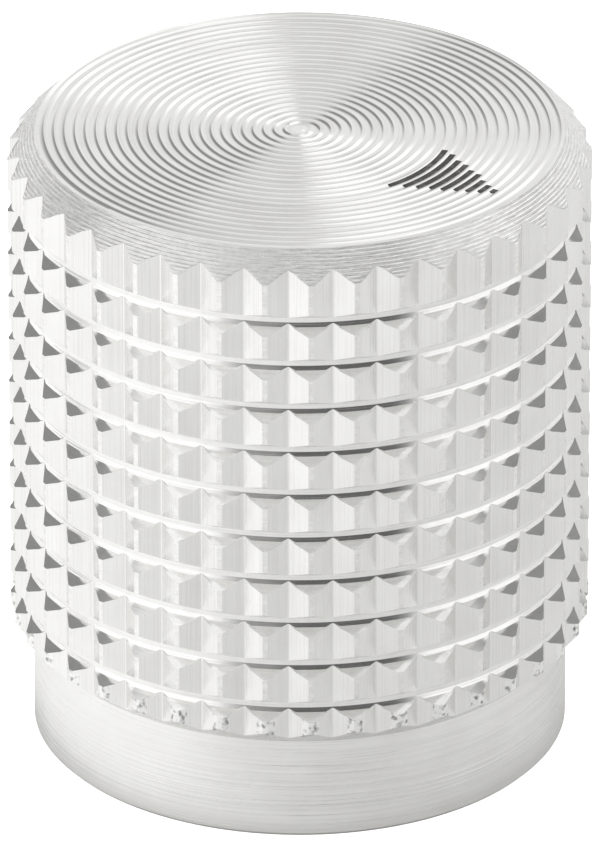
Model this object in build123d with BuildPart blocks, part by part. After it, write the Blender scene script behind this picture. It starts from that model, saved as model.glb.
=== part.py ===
from build123d import *
import math
import os

os.makedirs("parts", exist_ok=True)

# A turned aluminium control knob, in millimetres. The origin is the centre of
# the underside, +Z runs up the knob's axis and the pointer points along +Y.

# Turned outline
overall_height = 21.4
crest_radius = 9.5
shoulder_width = 0.9
shoulder_height = 0.9
collar_recess = 0.75
collar_height = 3.7
knurl_foot_height = 0.75
base_chamfer = 0.15

# Straight flutes, cut along the axis all round the grip
flute_count = 40
flute_depth = 0.37
flute_land_width = 0.17
flute_phase = 6.2

# Stock outside the crests, which the flutes and the flat crests are cut from
stock = 0.3

# Ring grooves around the grip, which split the fluted crests into tiers of teeth
ring_count = 10
ring_pitch = 1.556
first_ring_depth = 2.16
ring_depth = 0.44
ring_root_width = 0.14
ring_upper_wall_height = 0.28
ring_lower_wall_height = 0.42

# Grooves turned in the top face, which meet in sharp ridges. They stand for the
# facing tool's spiral, whose turns lie a little over half as far apart.
face_groove_count = 14
face_groove_pitch = 0.6
face_groove_depth = 0.08
face_rim_width = 0.05

# Painted pointer on the top face, its tip outwards
pointer_angle = 90
pointer_rim_gap = 0.82
pointer_length = 3.17
pointer_base_width = 3.18
paint_depth = 0.055

# Blind bore for a quarter-inch shaft, drilled from below
shaft_radius = 3.175
shaft_clearance = 0.025
bore_depth = 14.0
bore_mouth_chamfer = 0.3
drill_point_angle = 118

# Hexagon-socket set screw in the collar, opposite the pointer
screw_angle = pointer_angle + 180
screw_height = 1.95
screw_radius = 1.5
screw_point_chamfer = 0.35
screw_rim_chamfer = 0.2
screw_recess = 0.45
screw_shaft_gap = 0.1
thread_clearance = 0.02
socket_width = 1.5
socket_depth = 2.0

# Places that follow from the sizes above
face_radius = crest_radius - shoulder_width
collar_radius = crest_radius - collar_recess
knurl_foot = collar_height + knurl_foot_height
foot_slope = knurl_foot_height / collar_recess
shoulder_foot = overall_height - shoulder_height
shoulder_slope = shoulder_height / shoulder_width
bore_radius = shaft_radius + shaft_clearance
drill_point_depth = bore_radius / math.tan(math.radians(drill_point_angle / 2))
pointer_tip_radius = face_radius - pointer_rim_gap
pointer_base_radius = pointer_tip_radius - pointer_length
screw_centre = Vector(0, 0, screw_height)
screw_direction = Vector(1, 0, 0).rotate(Axis.Z, screw_angle)
screw_side = screw_direction.cross(Vector(0, 0, 1))
screw_inner_end = bore_radius + screw_shaft_gap
screw_outer_end = collar_radius - screw_recess


def ring_heights():
    """Height of the middle of each ring groove's root, from the top one down."""
    top = overall_height - first_ring_depth
    return [top - ring_pitch * index for index in range(ring_count)]


def face_groove_radii():
    """Radius of the bottom of each groove in the top face, from the rim inwards."""
    outermost = face_radius - face_rim_width - face_groove_pitch / 2
    return [outermost - face_groove_pitch * index for index in range(face_groove_count)]


def painted_groove_radii():
    """Radii of the face grooves that cross the pointer."""
    corner_radius = math.hypot(pointer_base_radius, pointer_base_width / 2)
    outermost = max(pointer_tip_radius, corner_radius) + face_groove_pitch / 2
    innermost = pointer_base_radius - face_groove_pitch / 2
    return [radius for radius in face_groove_radii() if innermost < radius < outermost]


def groove_vee(depth):
    """Corners of a face groove's vee, filled to this depth above its bottom."""
    half_width = face_groove_pitch / 2 * depth / face_groove_depth
    return [(0, -face_groove_depth), (half_width, depth - face_groove_depth),
            (-half_width, depth - face_groove_depth)]


def flute_section():
    """Corners of one flute's vee: its apex at the root, its mouth past the crest."""
    land_angle = math.degrees(flute_land_width / crest_radius)
    half_mouth_angle = math.radians((360 / flute_count - land_angle) / 2)
    root = Vector(crest_radius - flute_depth, 0)
    mouth = Vector(crest_radius * math.cos(half_mouth_angle),
                   crest_radius * math.sin(half_mouth_angle))
    outer = mouth + (mouth - root).normalized() * stock
    return [(root.X, root.Y), (outer.X, -outer.Y), (outer.X, outer.Y)]


# The cutter for one ring groove. What it leaves standing has one flat for each
# tooth, so that every tooth ends in plane facets above and below.
ring_root_radius = crest_radius - ring_depth
ring_height = ring_lower_wall_height + ring_root_width + ring_upper_wall_height
ring_foot = -ring_root_width / 2 - ring_lower_wall_height
with BuildPart() as ring_cutter:
    with BuildSketch(Plane.XY.offset(ring_foot)):
        Circle(crest_radius + stock)
        RegularPolygon(ring_root_radius, flute_count, major_radius=False,
                       rotation=flute_phase, mode=Mode.SUBTRACT)
    extrude(amount=ring_height)
    upper_rim = ring_cutter.faces().sort_by(Axis.Z)[-1]
    chamfer(upper_rim.inner_wires()[0].edges(), length=ring_depth,
            length2=ring_upper_wall_height, reference=upper_rim)
    lower_rim = ring_cutter.faces().sort_by(Axis.Z)[0]
    chamfer(lower_rim.inner_wires()[0].edges(), length=ring_depth,
            length2=ring_lower_wall_height, reference=lower_rim)

# The body: one turned piece, fluted, ringed, drilled and cross-tapped
with BuildPart() as knob_body:
    with BuildSketch(Plane.XZ):
        with BuildLine():
            Polyline(
                (0, 0),
                (collar_radius - base_chamfer, 0),
                (collar_radius, base_chamfer),
                (collar_radius, collar_height),
                (crest_radius + stock, knurl_foot + foot_slope * stock),
                (crest_radius + stock, shoulder_foot - shoulder_slope * stock),
                (face_radius, overall_height),
                (0, overall_height),
                close=True,
            )
        make_face()
        with Locations(*[(radius, overall_height) for radius in face_groove_radii()]):
            Polygon(*groove_vee(face_groove_depth), align=None, mode=Mode.SUBTRACT)
    revolve(axis=Axis.Z)

    with BuildSketch(Plane.XY.offset(collar_height)):
        Circle(crest_radius + 2 * stock)
        RegularPolygon(crest_radius, flute_count, major_radius=False,
                       rotation=flute_phase, mode=Mode.SUBTRACT)
        with PolarLocations(0, flute_count, start_angle=flute_phase):
            Polygon(*flute_section(), align=None)
    extrude(amount=overall_height - collar_height, mode=Mode.SUBTRACT)

    with Locations(*[(0, 0, height) for height in ring_heights()]):
        add(ring_cutter.part, mode=Mode.SUBTRACT)

    with BuildSketch(Plane.XZ):
        with BuildLine():
            Polyline(
                (0, 0),
                (bore_radius + bore_mouth_chamfer, 0),
                (bore_radius, bore_mouth_chamfer),
                (bore_radius, bore_depth),
                (0, bore_depth + drill_point_depth),
                close=True,
            )
        make_face()
    revolve(axis=Axis.Z, mode=Mode.SUBTRACT)

    with BuildSketch(Plane(origin=screw_centre, z_dir=screw_direction)):
        Circle(screw_radius + thread_clearance)
    extrude(amount=crest_radius, mode=Mode.SUBTRACT)

knob_body.part.label = "knob_body"
export_step(knob_body.part, "parts/knob_body.step")

# The set screw: its point stops short of the shaft, its socket faces outwards
with BuildPart() as set_screw:
    with BuildSketch(Plane(origin=screw_centre, x_dir=screw_direction, z_dir=screw_side)):
        with BuildLine():
            Polyline(
                (screw_inner_end, 0),
                (screw_inner_end, screw_radius - screw_point_chamfer),
                (screw_inner_end + screw_point_chamfer, screw_radius),
                (screw_outer_end - screw_rim_chamfer, screw_radius),
                (screw_outer_end, screw_radius - screw_rim_chamfer),
                (screw_outer_end, 0),
                close=True,
            )
        make_face()
    revolve(axis=Axis(screw_centre, screw_direction))
    with BuildSketch(Plane(origin=screw_centre, z_dir=screw_direction).offset(screw_outer_end)):
        RegularPolygon(socket_width / 2, 6, major_radius=False)
    extrude(amount=-socket_depth, mode=Mode.SUBTRACT)

set_screw.part.label = "set_screw"
export_step(set_screw.part, "parts/set_screw.step")

# The pointer: paint that lies in the bottom of the face grooves inside a triangle
with BuildPart() as pointer_paint:
    with BuildSketch(Plane.XZ):
        with Locations(*[(radius, overall_height) for radius in painted_groove_radii()]):
            Polygon(*groove_vee(paint_depth), align=None)
    revolve(axis=Axis.Z)
    with BuildSketch(Plane.XY.offset(overall_height - face_groove_depth)):
        with PolarLocations(0, 1, start_angle=pointer_angle):
            Polygon(
                (pointer_base_radius, -pointer_base_width / 2),
                (pointer_tip_radius, 0),
                (pointer_base_radius, pointer_base_width / 2),
                align=None,
            )
    extrude(amount=face_groove_depth, mode=Mode.INTERSECT)

pointer_paint.part.label = "pointer_paint"
export_step(pointer_paint.part, "parts/pointer_paint.step")
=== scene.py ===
"""A turned aluminium control knob with a square-cut knurled grip and a painted pointer.

The body is one closed surface around the axis. Its outside is cut back by the flutes and the
ring grooves, and its top holds the facing tool's spiral. The paint and the set screw are
separate pieces. Sizes are in millimetres as on the knob's drawing, and meshes are in metres in
the row frame: the origin is the centre of the underside, +Z runs up the axis and the pointer
points along +Y.
"""
import logging
import math
from dataclasses import dataclass, field
from enum import Enum

import bpy
import numpy as np
from mathutils import Matrix, Vector

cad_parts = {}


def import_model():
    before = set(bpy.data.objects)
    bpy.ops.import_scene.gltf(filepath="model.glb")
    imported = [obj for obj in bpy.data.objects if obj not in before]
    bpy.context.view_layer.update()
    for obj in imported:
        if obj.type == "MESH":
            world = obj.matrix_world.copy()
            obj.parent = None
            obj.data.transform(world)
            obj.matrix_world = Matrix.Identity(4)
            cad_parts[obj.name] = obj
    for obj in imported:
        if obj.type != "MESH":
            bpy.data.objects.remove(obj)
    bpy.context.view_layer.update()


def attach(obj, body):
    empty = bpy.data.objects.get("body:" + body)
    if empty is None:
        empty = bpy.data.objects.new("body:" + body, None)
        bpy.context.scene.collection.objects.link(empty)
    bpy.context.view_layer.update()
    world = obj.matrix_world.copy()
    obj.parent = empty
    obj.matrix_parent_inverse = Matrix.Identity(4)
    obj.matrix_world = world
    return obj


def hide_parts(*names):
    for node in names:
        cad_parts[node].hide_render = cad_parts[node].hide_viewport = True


LOG = logging.getLogger("control_knob")
MM = 0.001
IMAGE_WIDTH = 600
IMAGE_HEIGHT = 844
MARKS_UV = "tool_marks"
MARK_SLANT = 0.37
WELD_STEPS_PER_MM = 1e5
ROUNDING = 1e-9
WHITE = (1.0, 1.0, 1.0, 1.0)


class Surface(Enum):
    """The knob's kinds of cut surface, in the order of its material slots."""

    FACED = 0
    TURNED = 1
    MILLED = 2
    GROOVED = 3
    CREST = 4
    SHOULDER = 5
    TORN = 6


def srgb(code: str) -> tuple[float, float, float, float]:
    """Turns an sRGB hex colour into linear RGBA.

    Each channel c is c / 12.92 up to 0.04045 and ((c + 0.055) / 1.055) ** 2.4 above it.

    Args:
        code: Six hex digits after a hash.

    Returns:
        Linear red, green and blue, and an alpha of one.
    """
    channels = [int(code[i:i + 2], 16) / 255 for i in (1, 3, 5)]
    linear = [c / 12.92 if c <= 0.04045 else ((c + 0.055) / 1.055) ** 2.4 for c in channels]
    return linear[0], linear[1], linear[2], 1.0


def link_object(name: str, data: bpy.types.ID) -> bpy.types.Object:
    """Makes an object and puts it in the scene.

    Args:
        name: The object's name.
        data: Its mesh or camera.

    Returns:
        The object.
    """
    thing = bpy.data.objects.new(name, data)
    bpy.context.scene.collection.objects.link(thing)
    return thing


def shade_smoothly(mesh: bpy.types.Mesh, sharp_angle: float) -> None:
    """Shades a mesh smoothly, except over edges sharper than this many degrees."""
    mesh.shade_smooth()
    mesh.set_sharp_from_angle(angle=math.radians(sharp_angle))


def add_node(tree: bpy.types.NodeTree, kind: str, inputs: dict | None = None,
             **settings: object) -> bpy.types.Node:
    """Adds a shader node with its settings, values and links.

    Args:
        tree: The node tree of a material or the world.
        kind: The node's type name, such as ShaderNodeMath.
        inputs: Input name or index to a value, or to an output socket to link from.
        **settings: Properties of the node itself, such as operation.

    Returns:
        The new node.
    """
    node = tree.nodes.new(kind)
    for name, value in settings.items():
        setattr(node, name, value)
    for name, value in (inputs or {}).items():
        if isinstance(value, bpy.types.NodeSocket):
            tree.links.new(value, node.inputs[name])
        else:
            node.inputs[name].default_value = value
    return node


def calculate(tree: bpy.types.NodeTree, operation: str,
              *values: bpy.types.NodeSocket | float) -> bpy.types.NodeSocket:
    """Works out one sum, product or function of up to three values.

    Args:
        tree: The node tree.
        operation: The maths node's operation, such as MULTIPLY_ADD.
        *values: Numbers, or output sockets to link from.

    Returns:
        The result's output socket.
    """
    node = add_node(tree, "ShaderNodeMath", dict(enumerate(values)), operation=operation)
    return node.outputs["Value"]


def remap(tree: bpy.types.NodeTree, value: bpy.types.NodeSocket,
          source: tuple[float, float] = (0.0, 1.0), target: tuple[float, float] = (0.0, 1.0),
          **settings: object) -> bpy.types.NodeSocket:
    """Maps one range of a value to another, and holds it there at both ends.

    Args:
        tree: The node tree.
        value: The value's output socket.
        source: The range that the value comes from.
        target: The range that it goes to.
        **settings: Properties of the node itself, such as interpolation_type.

    Returns:
        The result's output socket.
    """
    node = add_node(tree, "ShaderNodeMapRange", {
        "Value": value, "From Min": source[0], "From Max": source[1], "To Min": target[0],
        "To Max": target[1]}, **settings)
    return node.outputs["Result"]


def mix_colours(tree: bpy.types.NodeTree, share: bpy.types.NodeSocket,
                first: bpy.types.NodeSocket | tuple, second: tuple) -> bpy.types.NodeSocket:
    """Mixes two colours.

    Args:
        tree: The node tree.
        share: How much of the second colour there is, from zero to one.
        first: The first colour.
        second: The second colour.

    Returns:
        The mixed colour's output socket.
    """
    node = add_node(tree, "ShaderNodeMix", {"Factor": share, "A": first, "B": second},
                    data_type="RGBA")
    return node.outputs["Result"]


def clouds(tree: bpy.types.NodeTree, size_mm: float, detail: float) -> bpy.types.NodeSocket:
    """Adds noise in Object space.

    Args:
        tree: The node tree.
        size_mm: The size of its largest clouds.
        detail: How many finer layers it has.

    Returns:
        The noise's output socket.
    """
    coordinates = add_node(tree, "ShaderNodeTexCoord")
    noise = add_node(tree, "ShaderNodeTexNoise", {
        "Vector": coordinates.outputs["Object"], "Scale": 1 / (size_mm * MM), "Detail": detail})
    return noise.outputs["Fac"]


def new_material(name: str) -> tuple[bpy.types.Material, bpy.types.NodeTree, bpy.types.Node]:
    """Makes a node material.

    Args:
        name: The material's name.

    Returns:
        The material, its node tree and its Principled shader.
    """
    material = bpy.data.materials.new(name)
    material.use_nodes = True
    tree = material.node_tree
    return material, tree, tree.nodes["Principled BSDF"]


@dataclass(frozen=True)
class CutAluminium:
    """Bare aluminium from the lathe or the cutter: bright, softly mirrored, with tool marks.

    The marks are long streaks in the tool's direction. The finest real ones are too fine for
    the render to hold, so these are a pixel or two of it apart.
    """

    name: str
    colour: str = "#f1f1f0"
    shade: str = "#e2e1df"
    roughness: float = 0.24
    roughness_spread: float = 0.10
    roughness_edges: tuple[float, float] = (0.25, 0.75)
    mark_spacing_mm: float = 0.06
    mark_length_mm: float = 9.0
    mark_height_mm: float = 0.004
    mark_layers: float = 3.0
    mark_layer_weight: float = 0.6
    marks_run_around: bool = True
    mark_colour: str = "#a9a8a6"
    mark_contrast: float = 0.35
    mark_edges: tuple[float, float] = (0.45, 0.75)
    blotch_mm: float = 1.5
    blotch_layers: float = 4.0
    blotch_edges: tuple[float, float] = (0.0, 1.0)

    def streaks(self, tree: bpy.types.NodeTree) -> bpy.types.NodeSocket:
        """Adds noise on the tool-mark map, drawn out along the tool's direction.

        Args:
            tree: The material's node tree.

        Returns:
            The noise's output socket.
        """
        marks_map = add_node(tree, "ShaderNodeUVMap", uv_map=MARKS_UV)
        long_way, short_way = 1 / self.mark_length_mm, 1 / self.mark_spacing_mm
        scale = (long_way, short_way, 1) if self.marks_run_around else (short_way, long_way, 1)
        stretched = add_node(tree, "ShaderNodeMapping",
                             {"Vector": marks_map.outputs["UV"], "Scale": scale})
        noise = add_node(tree, "ShaderNodeTexNoise", {
            "Vector": stretched.outputs["Vector"], "Scale": 1.0, "Detail": self.mark_layers,
            "Roughness": self.mark_layer_weight}, noise_dimensions="2D")
        return noise.outputs["Fac"]

    def material(self) -> bpy.types.Material:
        """Builds the metal, with blotches of shade and streaks that darken, roughen and rise.

        Returns:
            The material.
        """
        material, tree, shader = new_material(self.name)
        shader.inputs["Metallic"].default_value = 1.0
        streaks = self.streaks(tree)
        blotches = remap(tree, clouds(tree, self.blotch_mm, self.blotch_layers),
                         self.blotch_edges)
        plain = mix_colours(tree, blotches, srgb(self.colour), srgb(self.shade))
        darkness = remap(tree, streaks, self.mark_edges, (0.0, self.mark_contrast))
        marked = mix_colours(tree, darkness, plain, srgb(self.mark_colour))
        tree.links.new(marked, shader.inputs["Base Color"])
        half_spread = self.roughness_spread / 2
        rough = remap(tree, streaks, self.roughness_edges,
                      (self.roughness - half_spread, self.roughness + half_spread))
        tree.links.new(rough, shader.inputs["Roughness"])
        bump = add_node(tree, "ShaderNodeBump", {
            "Height": streaks, "Strength": 1.0, "Distance": self.mark_height_mm * MM})
        tree.links.new(bump.outputs["Normal"], shader.inputs["Normal"])
        return material


@dataclass(frozen=True)
class BlackEnamel:
    """Black enamel wiped into the grooves: matt, thin and a little grey where it is scuffed."""

    name: str = "black_enamel"
    colour: str = "#383734"
    scuffed: str = "#7b7a77"
    roughness: float = 0.55
    scuff_mm: float = 0.25
    scuff_layers: float = 3.0
    scuff_edges: tuple[float, float] = (0.5, 0.8)

    def material(self) -> bpy.types.Material:
        """Builds the enamel, with scuffs from noise in Object space.

        Returns:
            The material.
        """
        material, tree, shader = new_material(self.name)
        shader.inputs["Roughness"].default_value = self.roughness
        scuffs = remap(tree, clouds(tree, self.scuff_mm, self.scuff_layers), self.scuff_edges)
        colour = mix_colours(tree, scuffs, srgb(self.colour), srgb(self.scuffed))
        tree.links.new(colour, shader.inputs["Base Color"])
        return material


@dataclass(frozen=True)
class SocketScrewSteel:
    """Stainless set-screw steel: darker than the aluminium, drawn bright by its machining."""

    name: str = "stainless_steel"
    colour: str = "#a9a8a4"
    roughness_range: tuple[float, float] = (0.21, 0.42)
    grain_mm: float = 0.4
    grain_layers: float = 2.0

    def material(self) -> bpy.types.Material:
        """Builds the steel, its roughness clouded by noise in Object space.

        Returns:
            The material.
        """
        material, tree, shader = new_material(self.name)
        shader.inputs["Base Color"].default_value = srgb(self.colour)
        shader.inputs["Metallic"].default_value = 1.0
        rough = remap(tree, clouds(tree, self.grain_mm, self.grain_layers),
                      target=self.roughness_range)
        tree.links.new(rough, shader.inputs["Roughness"])
        return material


@dataclass(frozen=True)
class WhitePaper:
    """The floor's paper, which looks white to the camera and pale in the metal.

    What the metal shows of it is a painted glow with painted light and shade in it: brighter on
    the side of the largest soft box and far from the knob, painted shade in front of the
    camera's stand and a painted contact shadow close to the collar.
    """

    name: str = "white_paper"
    colour: str = "#f2f2f1"
    roughness: float = 0.9
    specular: float = 0.1
    bright_azimuth: float = -60.0
    bright_range: tuple[float, float] = (0.14, 0.48)
    far_gain: float = 0.25
    far_reach_mm: tuple[float, float] = (30.0, 150.0)
    shade_azimuth: float = 14.0
    shade_edges: tuple[float, float] = (0.5, 1.0)
    shade_depth: float = 0.21
    contact_shadow_reach_mm: tuple[float, float] = (8.7, 10.4)
    contact_shadow_share: float = 0.1

    def glow_in_metal(self, tree: bpy.types.NodeTree,
                      camera_azimuth: float) -> bpy.types.NodeSocket:
        """Works out how brightly the metal shows each place on the paper.

        It is painted light and shade: a part that grows with the cosine of the angle from the
        bright side, plus a part that grows with the distance, less a painted shade in front,
        times a painted contact shadow's share close to the collar.

        Args:
            tree: The material's node tree.
            camera_azimuth: The camera's azimuth in degrees, from which the others turn.

        Returns:
            The strength's output socket.
        """
        place = add_node(tree, "ShaderNodeTexCoord").outputs["Object"]
        outward = add_node(tree, "ShaderNodeVectorMath", {0: place}, operation="NORMALIZE")
        towards_bright, towards_shade = (add_node(tree, "ShaderNodeVectorMath", {
            0: outward.outputs["Vector"], 1: level_direction(camera_azimuth + azimuth)},
            operation="DOT_PRODUCT").outputs["Value"]
            for azimuth in (self.bright_azimuth, self.shade_azimuth))
        distance = add_node(tree, "ShaderNodeVectorMath", {0: place},
                            operation="LENGTH").outputs["Value"]
        # Painted light towards the largest soft box and far from the knob, painted shade in
        # front.
        around = remap(tree, towards_bright, (-1.0, 1.0), self.bright_range)
        far_start, far_end = self.far_reach_mm
        far = remap(tree, distance, (far_start * MM, far_end * MM), (0.0, self.far_gain))
        shade = remap(tree, towards_shade, self.shade_edges, (0.0, self.shade_depth))
        lit = calculate(tree, "SUBTRACT", calculate(tree, "ADD", around, far), shade)
        # Painted contact shadow: the glow falls to a small share close to the collar.
        contact_start, contact_end = self.contact_shadow_reach_mm
        contact_shadow = remap(tree, distance, (contact_start * MM, contact_end * MM),
                        (self.contact_shadow_share, 1.0))
        return calculate(tree, "MULTIPLY", lit, contact_shadow)

    def material(self, camera_azimuth: float) -> bpy.types.Material:
        """Builds the paper, which glows by a different strength for each kind of ray.

        Args:
            camera_azimuth: The camera's azimuth in degrees.

        Returns:
            The material.
        """
        material, tree, shader = new_material(self.name)
        shader.inputs["Base Color"].default_value = srgb(self.colour)
        shader.inputs["Roughness"].default_value = self.roughness
        shader.inputs["Specular IOR Level"].default_value = self.specular
        path = add_node(tree, "ShaderNodeLightPath")
        # In glossy and transmission rays the paper glows with this painted light and shade; to
        # the camera it glows plain white.
        mirrored = calculate(tree, "MAXIMUM", path.outputs["Is Glossy Ray"],
                             path.outputs["Is Transmission Ray"])
        in_metal = calculate(tree, "MULTIPLY", mirrored,
                             self.glow_in_metal(tree, camera_azimuth))
        strength = calculate(tree, "MAXIMUM", path.outputs["Is Camera Ray"], in_metal)
        glow = add_node(tree, "ShaderNodeEmission", {
            "Color": WHITE, "Strength": strength})
        both = add_node(tree, "ShaderNodeAddShader", {
            0: shader.outputs["BSDF"], 1: glow.outputs["Emission"]})
        tree.links.new(both.outputs["Shader"], tree.nodes["Material Output"].inputs["Surface"])
        return material


FINISHES = {
    Surface.FACED: CutAluminium("faced_aluminium", roughness=0.15, mark_contrast=0.2),
    Surface.TURNED: CutAluminium("turned_aluminium", mark_spacing_mm=0.09, mark_length_mm=20.0,
                                 mark_height_mm=0.02, mark_contrast=0.15),
    Surface.MILLED: CutAluminium("milled_aluminium", marks_run_around=False,
                                 mark_spacing_mm=0.05, mark_contrast=0.16),
    Surface.GROOVED: CutAluminium("grooved_aluminium", roughness=0.16, blotch_mm=0.3,
                                  mark_contrast=0.2),
    Surface.CREST: CutAluminium("crest_aluminium", roughness=0.3, colour="#fafaf9",
                                shade="#d8d7d4", blotch_mm=0.2, mark_height_mm=0.01,
                                mark_contrast=0.15),
    Surface.SHOULDER: CutAluminium("shoulder_aluminium", roughness=0.3, shade="#dedddb",
                                   blotch_mm=0.15, mark_spacing_mm=0.05, mark_length_mm=0.5,
                                   mark_height_mm=0.012, mark_contrast=0.25),
    Surface.TORN: CutAluminium("torn_aluminium", roughness=0.4, shade="#5f5d59",
                               blotch_mm=0.18, blotch_edges=(0.5, 0.74), mark_contrast=0.1),
}


@dataclass
class Shell:
    """Points and polygons of one closed mesh, in millimetres."""

    points: list[np.ndarray] = field(default_factory=list)
    quads: list[np.ndarray] = field(default_factory=list)
    surfaces: list[np.ndarray] = field(default_factory=list)
    size: int = 0

    def add_points(self, points: np.ndarray) -> np.ndarray:
        """Adds points, and numbers them.

        Args:
            points: The points, in any layout whose last axis is x, y and z.

        Returns:
            Their indices, in the same layout without the last axis.
        """
        flat = points.reshape(-1, 3)
        index = np.arange(self.size, self.size + len(flat)).reshape(points.shape[:-1])
        self.points.append(flat)
        self.size += len(flat)
        return index

    def add_quads(self, quads: np.ndarray, surface: np.ndarray) -> None:
        """Adds quads of point indices, each with its surface's slot."""
        self.quads.append(quads.reshape(-1, 4))
        self.surfaces.append(surface.ravel())

    def add_rings(self, rings: np.ndarray, surfaces: np.ndarray) -> np.ndarray:
        """Joins rings of points, each to the next and each closed on itself.

        Args:
            rings: Points as (ring, column, 3), in the order that joins them.
            surfaces: The surface's slot for each gap between two rings, as (gap, column) or
                as (gap, 1) where it is the same all round.

        Returns:
            Point indices as (ring, column).
        """
        index = self.add_points(rings)
        after = np.roll(index, -1, axis=1)
        quads = np.stack([index[:-1], index[1:], after[1:], after[:-1]], axis=-1)
        self.add_quads(quads, np.broadcast_to(surfaces, quads.shape[:2]))
        return index

    def cap(self, ring: np.ndarray, apex: tuple[float, float, float], surface: Surface) -> None:
        """Closes a ring with a cone of triangles, each a quad with its tip twice.

        Args:
            ring: The ring's point indices, in the order that faces the cone outwards.
            apex: The cone's tip.
            surface: The cone's kind of surface.
        """
        top = self.add_points(np.array([apex]))[0]
        after = np.roll(ring, -1)
        tip = np.full_like(ring, top)
        self.add_quads(np.stack([ring, tip, tip, after], axis=-1),
                       np.full(len(ring), surface.value))

    def to_mesh(self, name: str, materials: list[bpy.types.Material]) -> bpy.types.Mesh:
        """Welds equal points, drops what has no area and makes the Blender mesh.

        Points are equal where they round to the same hundred-thousandth of a millimetre.

        Args:
            name: The mesh's name.
            materials: The material of each slot.

        Returns:
            The mesh, with its slots filled and its tool-mark map.
        """
        points = np.concatenate(self.points)
        quads = np.concatenate(self.quads)
        surfaces = np.concatenate(self.surfaces)
        _, first, inverse = np.unique(
            np.round(points * WELD_STEPS_PER_MM).astype(np.int64), axis=0, return_index=True,
            return_inverse=True)
        points = points[first]
        quads = inverse.ravel()[quads]
        fresh = quads != np.roll(quads, 1, axis=1)
        corners = fresh.sum(axis=1)
        polygons = [quads[corners == 4], quads[corners == 3][fresh[corners == 3]].reshape(-1, 3)]
        slots = np.concatenate([surfaces[corners == 4], surfaces[corners == 3]])
        mesh = bpy.data.meshes.new(name)
        mesh.from_pydata((points * MM).tolist(), [], [
            face for group in polygons for face in group.tolist()])
        for material in materials:
            mesh.materials.append(material)
        mesh.polygons.foreach_set("material_index", slots.astype(np.int32))
        mapped = np.concatenate([self.tool_marks(points[group]).reshape(-1, 2)
                                 for group in polygons])
        mesh.uv_layers.new(name=MARKS_UV).data.foreach_set("uv", mapped.ravel())
        mesh.validate()
        return mesh

    @staticmethod
    def tool_marks(corners: np.ndarray) -> np.ndarray:
        """Works out the tool-mark map, in millimetres.

        Its first axis is the angle times the polygon's mean radius, unwrapped within each
        polygon. Its second grows with height and a little with radius, so that no cone on the
        knob lies along it.

        Args:
            corners: The polygons' points as (polygon, corner, 3).

        Returns:
            The map's points as (polygon, corner, 2).
        """
        radius = np.hypot(corners[..., 0], corners[..., 1])
        angle = np.arctan2(corners[..., 1], corners[..., 0])
        angle = angle - 2 * np.pi * np.round((angle - angle[:, :1]) / (2 * np.pi))
        return np.stack([angle * radius.mean(axis=1, keepdims=True),
                         corners[..., 2] + MARK_SLANT * radius], axis=-1)


@dataclass
class Loop:
    """One ring of points around the axis, and the kind of surface that leads to it."""

    radius: np.ndarray
    height: np.ndarray
    surface: Surface


def run_on(loops: list[Loop], radius: np.ndarray | float, height: np.ndarray | float,
           surface: Surface, steps: int = 1) -> None:
    """Adds loops that divide the way from the last loop to a new one evenly.

    Args:
        loops: The loops so far, to which these are added.
        radius: The new loop's radius at each column, or all round.
        height: Its height at each column, or all round.
        surface: The kind of surface on the way.
        steps: How many loops are added.
    """
    last = loops[-1]
    for share in np.linspace(0, 1, steps + 1)[1:]:
        loops.append(Loop(last.radius + (radius - last.radius) * share,
                          last.height + (height - last.height) * share, surface))


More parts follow.
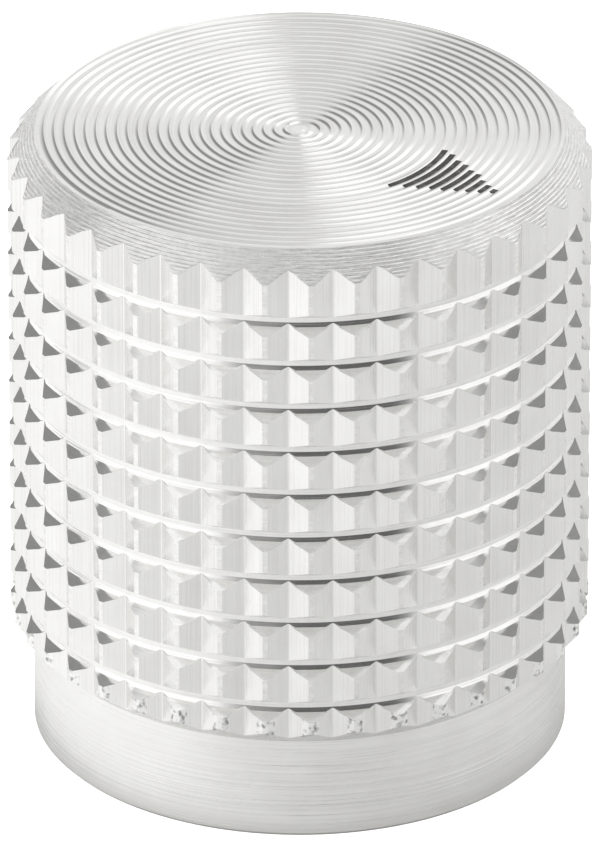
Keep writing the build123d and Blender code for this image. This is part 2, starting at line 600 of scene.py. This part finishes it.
@dataclass
class KnobBody:
    """The turned body, its sizes in millimetres and its angles in degrees."""

    height: float = 21.4
    crest_radius: float = 9.5
    collar_radius: float = 8.75
    collar_height: float = 3.55
    foot_height: float = 0.65
    shoulder: float = 0.9
    shoulder_line_pitch: float = 0.092
    shoulder_line_depth: float = 0.034
    base_chamfer: float = 0.15
    flute_count: int = 40
    flute_depth: float = 0.37
    land_width: float = 0.17
    flute_root_width: float = 0.05
    flute_phase: float = 6.2
    ring_count: int = 10
    ring_pitch: float = 1.556
    first_ring_depth: float = 2.32
    ring_depth: float = 0.385
    root_width: float = 0.17
    upper_wall: float = 0.255
    lower_wall: float = 0.365
    toe_height: float = 0.145
    toe_run: float = 0.055
    torn_reach: float = 0.16
    spiral_pitch: float = 0.34
    spiral_depth: float = 0.05
    spiral_rows: int = 5
    spiral_fade_turns: float = 0.4
    centre_radius: float = 0.12
    bore_radius: float = 3.2
    bore_depth: float = 14.0
    bore_chamfer: float = 0.3
    drill_point_depth: float = 1.92
    flank_columns: int = 3
    sharp_angle: float = 18.0
    finishes: dict[Surface, CutAluminium] = field(default_factory=FINISHES.copy)

    @property
    def face_radius(self) -> float:
        """Radius of the flat face, inside the shoulder."""
        return self.crest_radius - self.shoulder

    @property
    def half_land(self) -> float:
        """Half the angle that a tooth's flat crest takes up, in radians."""
        return self.land_width / self.crest_radius / 2

    @property
    def half_root(self) -> float:
        """Half the angle that a flute's narrow bottom takes up, in radians."""
        return self.flute_root_width / (self.crest_radius - self.flute_depth) / 2

    @property
    def angles(self) -> np.ndarray:
        """Angle of each column, in radians: flute, flank, crest and flank for each tooth."""
        half_pitch = math.pi / self.flute_count
        flank = np.linspace(self.half_land, half_pitch - self.half_root, self.flank_columns + 1)
        tooth = np.concatenate([[-half_pitch], -flank[::-1], [0.0], flank])
        steps = 2 * np.arange(self.flute_count) + 1
        centres = math.radians(self.flute_phase) + half_pitch * steps
        return (centres[:, None] + tooth[None, :]).ravel()

    def flute_radius(self) -> np.ndarray:
        """Works out the radius of the fluted grip.

        A flank is the straight line from the crest's edge to the flute's bottom. On that line
        the radius is cross(edge, root - edge) / cross(direction, root - edge).

        Returns:
            The radius at each column.
        """
        half_pitch = math.pi / self.flute_count
        root_start = half_pitch - self.half_root
        root_radius = self.crest_radius - self.flute_depth
        edge = self.crest_radius * np.array([math.cos(self.half_land), math.sin(self.half_land)])
        root = root_radius * np.array([math.cos(root_start), math.sin(root_start)])
        run = root - edge
        phase = self.angles - math.radians(self.flute_phase)
        offset = np.abs((phase % (2 * half_pitch)) - half_pitch)
        line = (edge[0] * run[1] - edge[1] * run[0]) / (
            np.cos(offset) * run[1] - np.sin(offset) * run[0])
        line = np.where(offset <= self.half_land + ROUNDING, self.crest_radius, line)
        return np.where(offset >= root_start - ROUNDING, root_radius, line)

    def foot(self, radius: np.ndarray) -> np.ndarray:
        """Height of the foot's cone at each radius."""
        share = (radius - self.collar_radius) / (self.crest_radius - self.collar_radius)
        return self.collar_height + self.foot_height * share

    def shoulder_loops(self, flute: np.ndarray) -> list[Loop]:
        """Makes loops down the shoulder's cone, which the turning tool left finely ridged.

        Along the radius the depth below the cone is a triangle wave, zero at the face's rim.
        Past a column's flute the loops stay on the flute's edge.

        Args:
            flute: Radius of the fluted grip at each column.

        Returns:
            The loops, from the face's rim outwards.
        """
        steps = math.ceil(2 * self.shoulder / self.shoulder_line_pitch)
        reach = self.face_radius + self.shoulder_line_pitch / 2 * np.arange(steps + 1)
        radius = np.minimum(reach[:, None], flute[None, :])
        wave = (radius - self.face_radius) / self.shoulder_line_pitch
        drop = self.shoulder_line_depth * (1 - np.abs(2 * (wave % 1) - 1))
        height = self.height - (radius - self.face_radius) - drop
        return [Loop(radius[step], height[step], Surface.SHOULDER) for step in range(steps + 1)]

    def outside_loops(self) -> list[Loop]:
        """Makes loops from the face's rim down to the underside.

        In each column the line runs down the shoulder's cone to the flute's radius, down the
        flank, in along the ring groove's upper wall to its root, out along its steep toe and
        its lower wall, and down the next flank. A wall's height changes evenly with its radius,
        so the loop where a wall meets the flank rises and falls with the flute. The last flank
        and the top of the foot are torn.

        Returns:
            The loops, from the top down.
        """
        flute = self.flute_radius()
        root = self.crest_radius - self.ring_depth
        depth_share = (flute - root) / self.ring_depth
        toe_radius = np.minimum(flute, root + self.toe_run)
        toe_drop = self.toe_height * (toe_radius - root) / self.toe_run
        wall_share = (flute - toe_radius) / (self.ring_depth - self.toe_run)
        wall_drop = toe_drop + (self.lower_wall - self.toe_height) * wall_share
        loops = self.shoulder_loops(flute)
        for ring in range(self.ring_count):
            centre = self.height - self.first_ring_depth - self.ring_pitch * ring
            upper = centre + self.root_width / 2
            lower = centre - self.root_width / 2
            run_on(loops, flute, upper + self.upper_wall * depth_share, Surface.MILLED, steps=2)
            run_on(loops, root, upper, Surface.GROOVED)
            run_on(loops, root, lower, Surface.GROOVED)
            run_on(loops, toe_radius, lower - toe_drop, Surface.GROOVED)
            run_on(loops, flute, lower - wall_drop, Surface.GROOVED, steps=2)
        torn_end = flute - self.torn_reach
        run_on(loops, flute, self.foot(flute), Surface.TORN)
        run_on(loops, torn_end, self.foot(torn_end), Surface.TORN)
        run_on(loops, self.collar_radius, self.collar_height, Surface.TURNED, steps=2)
        run_on(loops, self.collar_radius, self.base_chamfer, Surface.TURNED, steps=3)
        run_on(loops, self.collar_radius - self.base_chamfer, 0.0, Surface.TURNED)
        return loops

    def surface_slots(self, loops: list[Loop]) -> np.ndarray:
        """Gives each polygon between two loops its kind of surface.

        What is milled becomes crest on the lands. What is torn stays torn on the lands and in
        the columns beside them, and is milled elsewhere.

        Args:
            loops: The loops, in the order that joins them.

        Returns:
            The surfaces' slots as (gap, column).
        """
        crest = self.flute_radius() > self.crest_radius - ROUNDING
        on_land = crest & np.roll(crest, -1)
        near_land = on_land | np.roll(on_land, 1) | np.roll(on_land, -1)
        slots = np.array([loop.surface.value for loop in loops[1:]])[:, None]
        milled, torn = slots == Surface.MILLED.value, slots == Surface.TORN.value
        slots = np.where(milled & on_land, Surface.CREST.value, slots)
        return np.where(torn & ~near_land, Surface.MILLED.value, slots)

    def spiral_rings(self) -> tuple[np.ndarray, np.ndarray]:
        """Makes points and quads of the face's spiral groove.

        Row k of a column lies k / rows turns in from the rim, and further in by the share of a
        turn that the column has gone round. So a row that goes once round joins the row one
        turn further in. Across a turn the depth is one minus the square of the distance from
        the groove's middle, as a round-nosed tool leaves it, and it fades out at the rim and
        at the centre.

        Returns:
            Points as (row, column, 3), and quads as indices into them.
        """
        angles = self.angles
        gone_round = (angles - angles[0]) / (2 * np.pi)
        turns = math.ceil((self.face_radius - self.centre_radius) / self.spiral_pitch) + 1
        row = np.arange(-self.spiral_rows, turns * self.spiral_rows + 1)[:, None]
        turn = row / self.spiral_rows + gone_round[None, :]
        radius = np.clip(self.face_radius - self.spiral_pitch * turn, self.centre_radius,
                         self.face_radius)
        across = 2 * ((row / self.spiral_rows) % 1) - 1
        rim_fade = self.spiral_fade_turns * self.spiral_pitch
        fade = np.clip((self.face_radius - radius) / rim_fade, 0, 1)
        fade = fade * np.clip((radius - self.centre_radius) / self.spiral_pitch, 0, 1)
        height = self.height - self.spiral_depth * (1 - across ** 2) * fade
        points = np.stack([radius * np.cos(angles), radius * np.sin(angles), height], axis=-1)
        index = np.arange(radius.size).reshape(radius.shape)
        here = index[:-self.spiral_rows]
        after = np.concatenate([here[:, 1:], index[self.spiral_rows:, :1]], axis=1)
        quads = np.stack([here[1:], here[:-1], after[:-1], after[1:]], axis=-1)
        return points, quads

    def build(self) -> bpy.types.Object:
        """Joins the outside, the underside, the bore and the face, and welds them.

        Returns:
            The body, not drilled yet.
        """
        shell = Shell()
        angles = self.angles
        loops = self.outside_loops()
        run_on(loops, self.bore_radius + self.bore_chamfer, 0.0, Surface.TURNED)
        run_on(loops, self.bore_radius, self.bore_chamfer, Surface.TURNED)
        run_on(loops, self.bore_radius, self.bore_depth, Surface.TURNED)
        radii = np.stack([loop.radius for loop in loops])
        heights = np.stack([loop.height for loop in loops])
        rings = np.stack([radii * np.cos(angles), radii * np.sin(angles), heights], axis=-1)
        outside = shell.add_rings(rings, self.surface_slots(loops))
        shell.cap(outside[-1], (0.0, 0.0, self.bore_depth + self.drill_point_depth),
                  Surface.TURNED)
        points, quads = self.spiral_rings()
        face = shell.add_points(points)
        shell.add_quads(face.ravel()[quads], np.full(quads.shape[:-1], Surface.FACED.value))
        shell.cap(face[-1][::-1], (0.0, 0.0, self.height), Surface.FACED)
        materials = [self.finishes[surface].material() for surface in Surface]
        return link_object("turned_body", shell.to_mesh("turned_body", materials))

    def drill(self, body: bpy.types.Object, screw: "SetScrew") -> None:
        """Cuts the set screw's tapped hole from the collar's outside into the bore.

        Args:
            body: The body, whose mesh is replaced by the drilled one.
            screw: The screw that the hole is tapped for.
        """
        drill = screw.hole_cutter(self.crest_radius)
        cut = body.modifiers.new("cross_hole", "BOOLEAN")
        cut.operation = "DIFFERENCE"
        cut.solver = "EXACT"
        cut.object = drill
        drilled = bpy.data.meshes.new_from_object(
            body.evaluated_get(bpy.context.evaluated_depsgraph_get()))
        body.modifiers.remove(cut)
        body.data = drilled
        bpy.data.objects.remove(drill)

    def dress(self, body: bpy.types.Object) -> None:
        """Shades the body and puts it in the CAD body's place.

        Args:
            body: The drilled body.
        """
        shade_smoothly(body.data, self.sharp_angle)
        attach(body, "root")
        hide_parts("knob_body")


@dataclass
class SetScrew:
    """The hexagon-socket set screw in the collar, in millimetres and degrees.

    Its ends are distances from the knob's axis, and its socket's depth is to the foot of the
    hexagon, below which the drill's point goes a little further.
    """

    angle: float = 270.0
    height: float = 1.95
    radius: float = 1.5
    thread_depth: float = 0.06
    thread_pitch: float = 0.5
    thread_gap: float = 0.02
    inner_end: float = 3.3
    outer_end: float = 8.3
    hole_start: float = 1.0
    chamfer: float = 0.25
    socket_width: float = 1.5
    socket_depth: float = 2.0
    socket_point: float = 0.3
    columns: int = 72
    rows_per_turn: int = 8
    sharp_angle: float = 30.0
    finish: SocketScrewSteel = field(default_factory=SocketScrewSteel)

    def place(self, along: np.ndarray, side: np.ndarray, up: np.ndarray) -> np.ndarray:
        """Turns screw coordinates, along its axis and across it, into the row's.

        Args:
            along: Distances from the knob's axis along the screw's.
            side: Level distances from the screw's axis.
            up: Heights above the screw's axis.

        Returns:
            Points, with x, y and z as a new last axis.
        """
        turn = math.radians(self.angle)
        return np.stack([along * math.cos(turn) - side * math.sin(turn),
                         along * math.sin(turn) + side * math.cos(turn),
                         up + self.height], axis=-1)

    def on_axis(self, along: float) -> tuple[float, float, float]:
        """The point on the screw's axis at this distance from the knob's."""
        return tuple(self.place(np.array(along), np.array(0.0), np.array(0.0)))

    def hole_cutter(self, reach: float) -> bpy.types.Object:
        """Makes a plain cylinder for the tapped hole.

        Args:
            reach: How far from the knob's axis it ends, past the collar.

        Returns:
            The cylinder, from inside the bore outwards.
        """
        shell = Shell()
        turn = np.linspace(0, 2 * np.pi, self.columns, endpoint=False)
        radius = self.radius + self.thread_gap
        ends = (reach, self.hole_start)
        rings = np.stack([self.place(np.full(self.columns, end), radius * np.cos(turn),
                                     radius * np.sin(turn)) for end in ends])
        index = shell.add_rings(rings, np.array([[Surface.TURNED.value]]))
        shell.cap(index[-1], self.on_axis(self.hole_start), Surface.TURNED)
        shell.cap(index[0][::-1], self.on_axis(reach), Surface.TURNED)
        return link_object("cross_hole", shell.to_mesh("cross_hole", []))

    def build(self) -> bpy.types.Object:
        """Builds the screw: a threaded barrel with chamfered ends and a hexagon socket.

        The barrel's radius falls below the nominal one by the thread's depth times a triangle
        wave of (distance along / pitch + angle / one turn), and never reaches past a chamfer.
        The socket's wall follows a hexagon, whose radius is its half width over the cosine of
        the angle from the middle of a flat.

        Returns:
            The screw.
        """
        turn = np.linspace(0, 2 * np.pi, self.columns, endpoint=False)
        rows = int((self.outer_end - self.inner_end) / self.thread_pitch * self.rows_per_turn)
        along = np.linspace(self.outer_end, self.inner_end, rows + 1)[:, None]
        phase = along / self.thread_pitch + turn[None, :] / (2 * np.pi)
        thread = self.radius - self.thread_depth * (1 - np.abs(2 * (phase % 1) - 1))
        end_gap = np.minimum(self.outer_end - along, along - self.inner_end)
        barrel = np.minimum(thread, self.radius - self.chamfer + end_gap)
        flat_angle = (turn + np.pi / 6) % (np.pi / 3) - np.pi / 6
        hexagon = self.socket_width / 2 / np.cos(flat_angle)
        radii = np.concatenate([[hexagon], [hexagon], barrel])
        socket_end = self.outer_end - self.socket_depth
        along = np.concatenate([[[socket_end]], [[self.outer_end]],
                                along]) * np.ones((1, self.columns))
        shell = Shell()
        rings = self.place(along, radii * np.cos(turn), radii * np.sin(turn))
        index = shell.add_rings(rings, np.array([[Surface.FACED.value]]))
        shell.cap(index[0][::-1], self.on_axis(socket_end - self.socket_point), Surface.FACED)
        shell.cap(index[-1], self.on_axis(self.inner_end), Surface.FACED)
        screw = link_object("socket_set_screw",
                            shell.to_mesh("socket_set_screw", [self.finish.material()]))
        shade_smoothly(screw.data, self.sharp_angle)
        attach(screw, "root")
        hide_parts("set_screw")
        return screw


@dataclass
class Pointer:
    """The painted triangle on the face, its tip outwards, in millimetres and degrees."""

    body: KnobBody
    angle: float = 90.0
    base_radius: float = 4.75
    tip_radius: float = 7.95
    base_width: float = 3.42
    fill: float = 0.38
    end_mm: float = 0.03
    end_width_share: float = 0.02
    shortest_share: float = 0.2
    rows: int = 5
    columns_per_mm: float = 12.0
    least_columns: int = 6
    ragged: float = 0.05
    ragged_seed: int = 7
    sharp_angle: float = 40.0
    finish: BlackEnamel = field(default_factory=BlackEnamel)

    def add_stroke(self, shell: Shell, middle: float, half_angle: float,
                   random: np.random.Generator) -> None:
        """Adds the sliver of paint in one turn of the spiral.

        Its top is level at the paint's fill above the groove's bottom. Its edges lie where that
        level meets the groove's parabola, and its underside follows the parabola. Both ends
        are a little ragged and come almost to a point.

        Args:
            shell: The shell that the sliver is added to.
            middle: Radius of the groove's middle, in the pointer's direction.
            half_angle: Half the angle that the triangle takes up there, in radians.
            random: Draws how far each end is off.
        """
        depth, pitch = self.body.spiral_depth, self.body.spiral_pitch
        length = 2 * half_angle * middle
        count = max(self.least_columns, int(length * self.columns_per_mm))
        ends = np.array([-half_angle, half_angle]) + random.normal(0, self.ragged, 2) / middle
        edge = self.end_mm / middle
        swing = np.concatenate([ends[:1], np.linspace(ends[0] + edge, ends[1] - edge, count),
                                ends[1:]])
        taper = np.ones(count + 2)
        taper[[0, -1]] = self.end_width_share
        half_wide = pitch / 2 * math.sqrt(self.fill)
        across = np.linspace(-1, 1, self.rows)[:, None] * half_wide * taper[None, :]
        bottom = self.body.height - depth * (1 - (2 * across / pitch) ** 2)
        level = np.broadcast_to(self.body.height - depth * (1 - self.fill * taper ** 2),
                                across.shape)
        angle = math.radians(self.angle) + swing
        radius = middle - pitch * swing / (2 * math.pi) + across
        x, y = radius * np.cos(angle), radius * np.sin(angle)
        over = np.stack([x, y, level], axis=-1)
        under = np.stack([x, y, np.minimum(bottom, level)], axis=-1)
        hoop = np.concatenate([over, under[::-1][1:-1]], axis=0)
        index = shell.add_points(hoop)
        after = np.roll(index, -1, axis=0)
        quads = np.stack([index[:, :-1], after[:, :-1], after[:, 1:], index[:, 1:]], axis=-1)
        shell.add_quads(quads[:, :, ::-1], np.full(quads.shape[:2], Surface.FACED.value))
        for end, order in ((0, 1), (-1, -1)):
            shell.cap(index[::order, end], tuple(hoop[:, end].mean(axis=0)), Surface.FACED)

    def build(self) -> bpy.types.Object:
        """Builds a sliver of paint for each turn of the spiral inside the triangle.

        The turns' middles lie a pitch apart. The outermost is half a pitch in from the rim, and
        further in by the share of a turn that the spiral has gone round. A turn that holds too
        short a stroke is left bare.

        Returns:
            The paint.
        """
        pitch = self.body.spiral_pitch
        swing = (math.radians(self.angle) - self.body.angles[0]) % (2 * math.pi)
        outermost = self.body.face_radius - pitch * (0.5 + swing / (2 * math.pi))
        turns = math.floor((outermost - self.base_radius) / pitch) + 1
        random = np.random.default_rng(self.ragged_seed)
        shell = Shell()
        for middle in outermost - pitch * np.arange(turns):
            share = (self.tip_radius - middle) / (self.tip_radius - self.base_radius)
            half_angle = share * self.base_width / 2 / middle
            if half_angle * middle >= self.shortest_share * pitch:
                self.add_stroke(shell, middle, half_angle, random)
        paint = link_object("groove_paint",
                            shell.to_mesh("groove_paint", [self.finish.material()]))
        shade_smoothly(paint.data, self.sharp_angle)
        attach(paint, "root")
        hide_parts("pointer_paint")
        return paint


@dataclass(frozen=True)
class SoftBox:
    """A bright patch of the room, or a dark one where its strength is below zero.

    The angles say where it is and how far it reaches each way, in degrees.
    """

    azimuth: float
    elevation: float
    half_width: float
    half_height: float
    softness: float
    strength: float

    def add_to(self, tree: bpy.types.NodeTree, total: bpy.types.NodeSocket | float,
               azimuth: bpy.types.NodeSocket,
               elevation: bpy.types.NodeSocket) -> bpy.types.NodeSocket:
        """Adds this box's light to the total so far.

        Args:
            tree: The world's node tree.
            total: The strength so far.
            azimuth: The direction's azimuth, in radians.
            elevation: The direction's elevation, in radians.

        Returns:
            The new total.
        """
        offset = calculate(tree, "SUBTRACT", azimuth, math.radians(self.azimuth))
        sideways = calculate(tree, "WRAP", offset, math.pi, -math.pi)
        lift = calculate(tree, "SUBTRACT", elevation, math.radians(self.elevation))
        shares = []
        for way, half in ((sideways, self.half_width), (lift, self.half_height)):
            edges = (math.radians(half), math.radians(half) + math.radians(self.softness))
            shares.append(remap(tree, calculate(tree, "ABSOLUTE", way), edges, (1.0, 0.0),
                                interpolation_type="SMOOTHSTEP"))
        both = calculate(tree, "MULTIPLY", *shares)
        return calculate(tree, "MULTIPLY_ADD", both, self.strength, total)


def level_direction(azimuth: float) -> tuple[float, float, float]:
    """The level direction at this azimuth, which turns from -Y towards +X, in degrees."""
    turn = math.radians(azimuth)
    return math.sin(turn), -math.cos(turn), 0.0


@dataclass
class Studio:
    """A white floor, a pale room with soft boxes, and the camera of the photograph.

    The camera stands where the photograph's did: its azimuth turns it from -Y towards +X, its
    elevation is above the level, and its distance and scale are at the knob's face. The boxes'
    azimuths turn from the camera's own.
    """

    azimuth: float = 125.5
    elevation: float = 27.4
    distance_mm: float = 567.0
    pixels_per_mm: float = 30.84
    face_pixel: tuple[float, float] = (299.8, 128.6)
    face_height_mm: float = 21.4
    sensor_mm: float = 36.0
    clip_m: tuple[float, float] = (0.01, 20.0)
    floor_half_m: float = 0.6
    paper: WhitePaper = field(default_factory=WhitePaper)
    ambient: float = 0.32
    boxes: tuple[SoftBox, ...] = (
        SoftBox(-60, 30, 24, 30, 10, 0.56),
        SoftBox(-82, 5, 54, 11, 8, 0.40),
        SoftBox(72, 25, 20, 33, 10, 0.42),
        SoftBox(92, 4, 44, 10, 6, 0.46),
        SoftBox(17, 10, 20, 11, 8, -0.20),
        SoftBox(6, 46, 32, 20, 8, 0.50),
        SoftBox(-92, 66, 20, 8, 8, 0.34),
        SoftBox(95, 66, 20, 8, 8, 0.22),
        SoftBox(0, 90, 180, 26, 12, 0.45),
        SoftBox(174, 20, 20, 30, 10, 0.62),
        SoftBox(157, 52, 12, 16, 9, 0.5),
    )

    def camera(self) -> None:
        """Places the camera so that the face's middle falls on its pixel."""
        azimuth, elevation = math.radians(self.azimuth), math.radians(self.elevation)
        back = Vector((math.sin(azimuth) * math.cos(elevation),
                       -math.cos(azimuth) * math.cos(elevation), math.sin(elevation)))
        right = Vector((math.cos(azimuth), math.sin(azimuth), 0))
        up = back.cross(right)
        across = (self.face_pixel[0] - IMAGE_WIDTH / 2) / self.pixels_per_mm
        above = (IMAGE_HEIGHT / 2 - self.face_pixel[1]) / self.pixels_per_mm
        face = Vector((0, 0, self.face_height_mm))
        place = (face - right * across - up * above + back * self.distance_mm) * MM
        data = bpy.data.cameras.new("camera")
        data.sensor_width = self.sensor_mm
        data.lens = self.pixels_per_mm * self.distance_mm * self.sensor_mm / IMAGE_HEIGHT
        data.clip_start, data.clip_end = self.clip_m
        camera = link_object("camera", data)
        camera.matrix_world = Matrix.Translation(place) @ Matrix(
            (right, up, back)).transposed().to_4x4()
        bpy.context.scene.camera = camera

    def floor(self) -> None:
        """Lays the white paper under the knob."""
        half = self.floor_half_m
        corners = [(-half, -half, 0), (half, -half, 0), (half, half, 0), (-half, half, 0)]
        mesh = bpy.data.meshes.new("floor")
        mesh.from_pydata(corners, [], [(0, 1, 2, 3)])
        mesh.materials.append(self.paper.material(self.azimuth))
        floor = link_object("floor", mesh)

    def room(self) -> None:
        """Lights the knob from a pale room with soft boxes and the dark gaps between them.

        Each box adds its strength where the direction's azimuth and elevation are within its
        half width and half height, and falls off smoothly over its softness.
        """
        world = bpy.data.worlds.new("room")
        bpy.context.scene.world = world
        world.use_nodes = True
        tree = world.node_tree
        coordinates = add_node(tree, "ShaderNodeTexCoord")
        turned = add_node(tree, "ShaderNodeVectorRotate", {
            "Vector": coordinates.outputs["Generated"],
            "Angle": -math.radians(self.azimuth)}, rotation_type="Z_AXIS")
        parts = add_node(tree, "ShaderNodeSeparateXYZ", {"Vector": turned.outputs["Vector"]})
        front = calculate(tree, "MULTIPLY", parts.outputs["Y"], -1.0)
        azimuth = calculate(tree, "ARCTAN2", parts.outputs["X"], front)
        elevation = calculate(tree, "ARCSINE", parts.outputs["Z"])
        total: bpy.types.NodeSocket | float = self.ambient
        for box in self.boxes:
            total = box.add_to(tree, total, azimuth, elevation)
        background = tree.nodes["Background"]
        background.inputs["Color"].default_value = WHITE
        tree.links.new(total, background.inputs["Strength"])

    def build(self) -> None:
        """Sets up the camera, the floor and the room."""
        bpy.context.scene.view_settings.view_transform = "Standard"
        self.camera()
        self.floor()
        self.room()


def main() -> None:
    """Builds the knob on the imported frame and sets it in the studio."""
    logging.basicConfig(level=logging.INFO)
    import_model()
    body_design = KnobBody()
    body = body_design.build()
    screw_design = SetScrew()
    body_design.drill(body, screw_design)
    body_design.dress(body)
    screw = screw_design.build()
    paint = Pointer(body_design).build()
    for piece in (body, screw, paint):
        LOG.info("%s: %d polygons", piece.name, len(piece.data.polygons))
    Studio().build()


if __name__ == "__main__":
    main()
